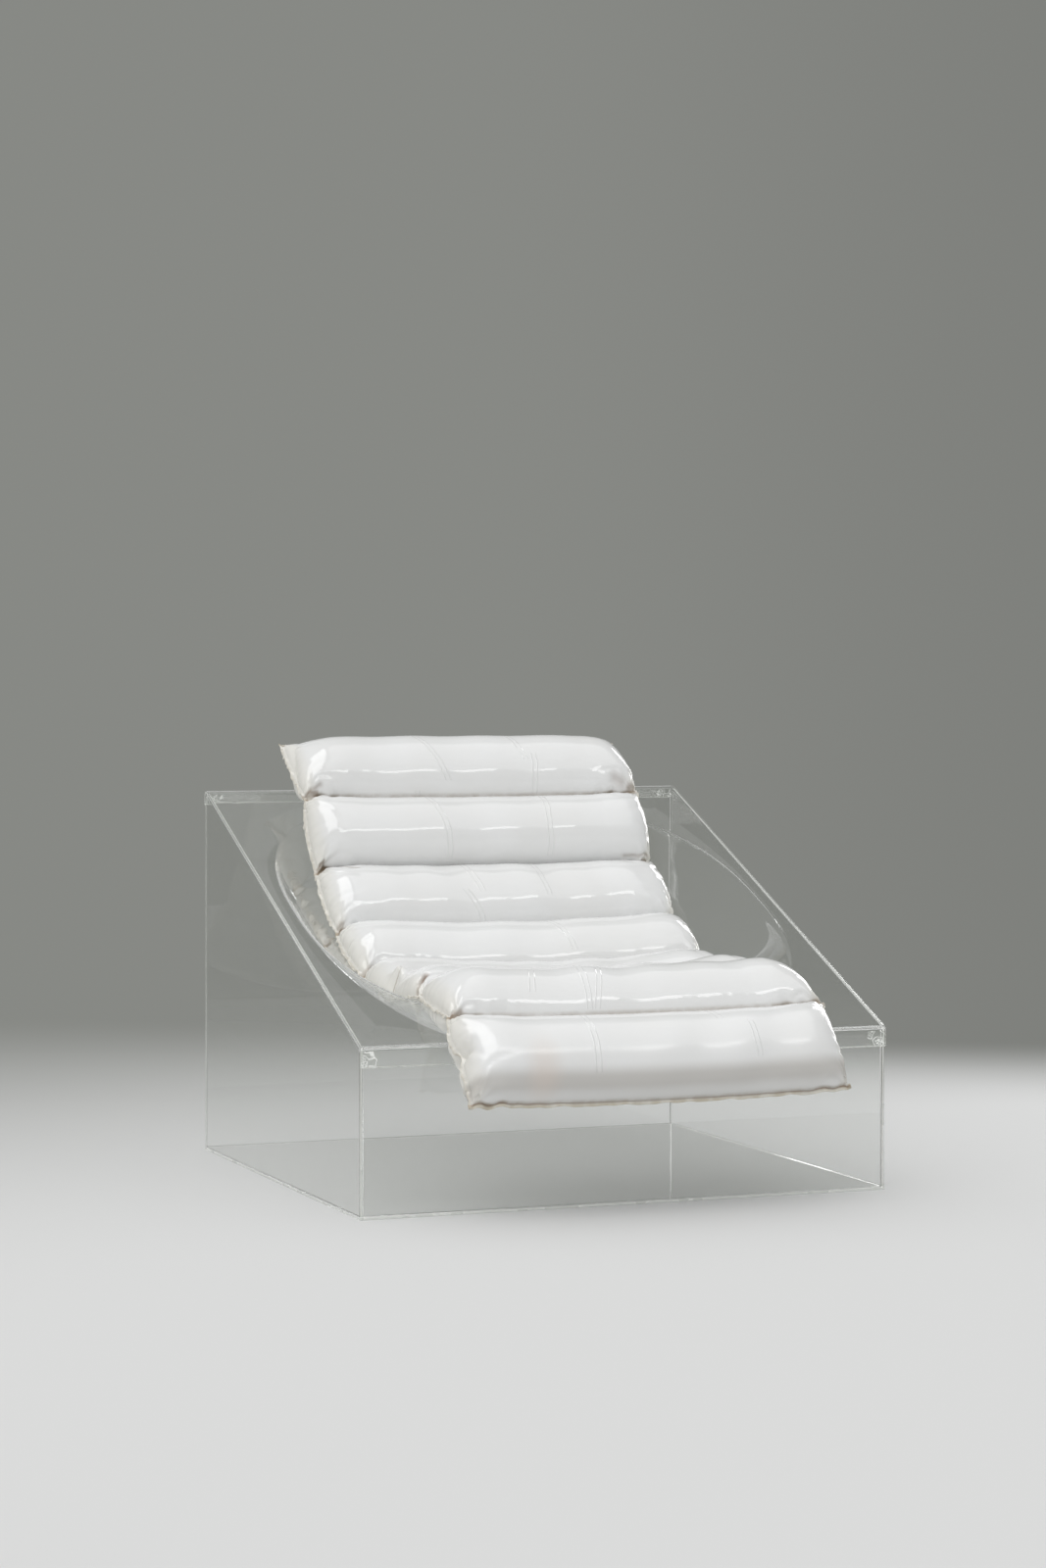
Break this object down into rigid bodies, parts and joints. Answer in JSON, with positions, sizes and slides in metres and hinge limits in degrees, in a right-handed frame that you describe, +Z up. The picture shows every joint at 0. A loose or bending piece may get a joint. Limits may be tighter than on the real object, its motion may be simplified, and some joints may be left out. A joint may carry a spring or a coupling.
{
  "type": "lounge chair",
  "caption": "Low lounge chair: a clear acrylic box with a sloping bucket seat blown into its lid, and a loose channelled cushion laid over it.",
  "frame": {"origin": "centre of the base panel's underside, on the floor", "axes": "+Z up; the seat faces -Y, which is the low end of the box; +X is to the right of someone looking at the front"},
  "size_m": [0.87, 0.9581, 0.7014],
  "materials": {
    "clear_acrylic": "gloss",
    "cement": "gloss",
    "white_vinyl": "gloss",
    "fibre_filling": "matte"
  },
  "bodies": {
    "chair": {"base_panel": "clear_acrylic", "left_side_panel": "clear_acrylic", "right_side_panel": "clear_acrylic", "back_panel": "clear_acrylic", "front_panel": "clear_acrylic", "seat_moulding": "clear_acrylic", "cement_spot_front_left": "cement", "cement_spot_front_right": "cement", "cement_spot_back_left": "cement", "cement_spot_back_right": "cement"},
    "cushion": {"cushion_cover_top": "white_vinyl", "cushion_cover_bottom": "white_vinyl", "filling_1": "fibre_filling", "filling_2": "fibre_filling", "filling_3": "fibre_filling", "filling_4": "fibre_filling", "filling_5": "fibre_filling", "filling_6": "fibre_filling", "filling_7": "fibre_filling", "filling_8": "fibre_filling"}
  },
  "joints": [
    {"name": "cushion_lift", "type": "slide", "parent": "chair", "child": "cushion", "axis": [0, 0, 1], "range_m": [0, 0.5]}
  ]
}
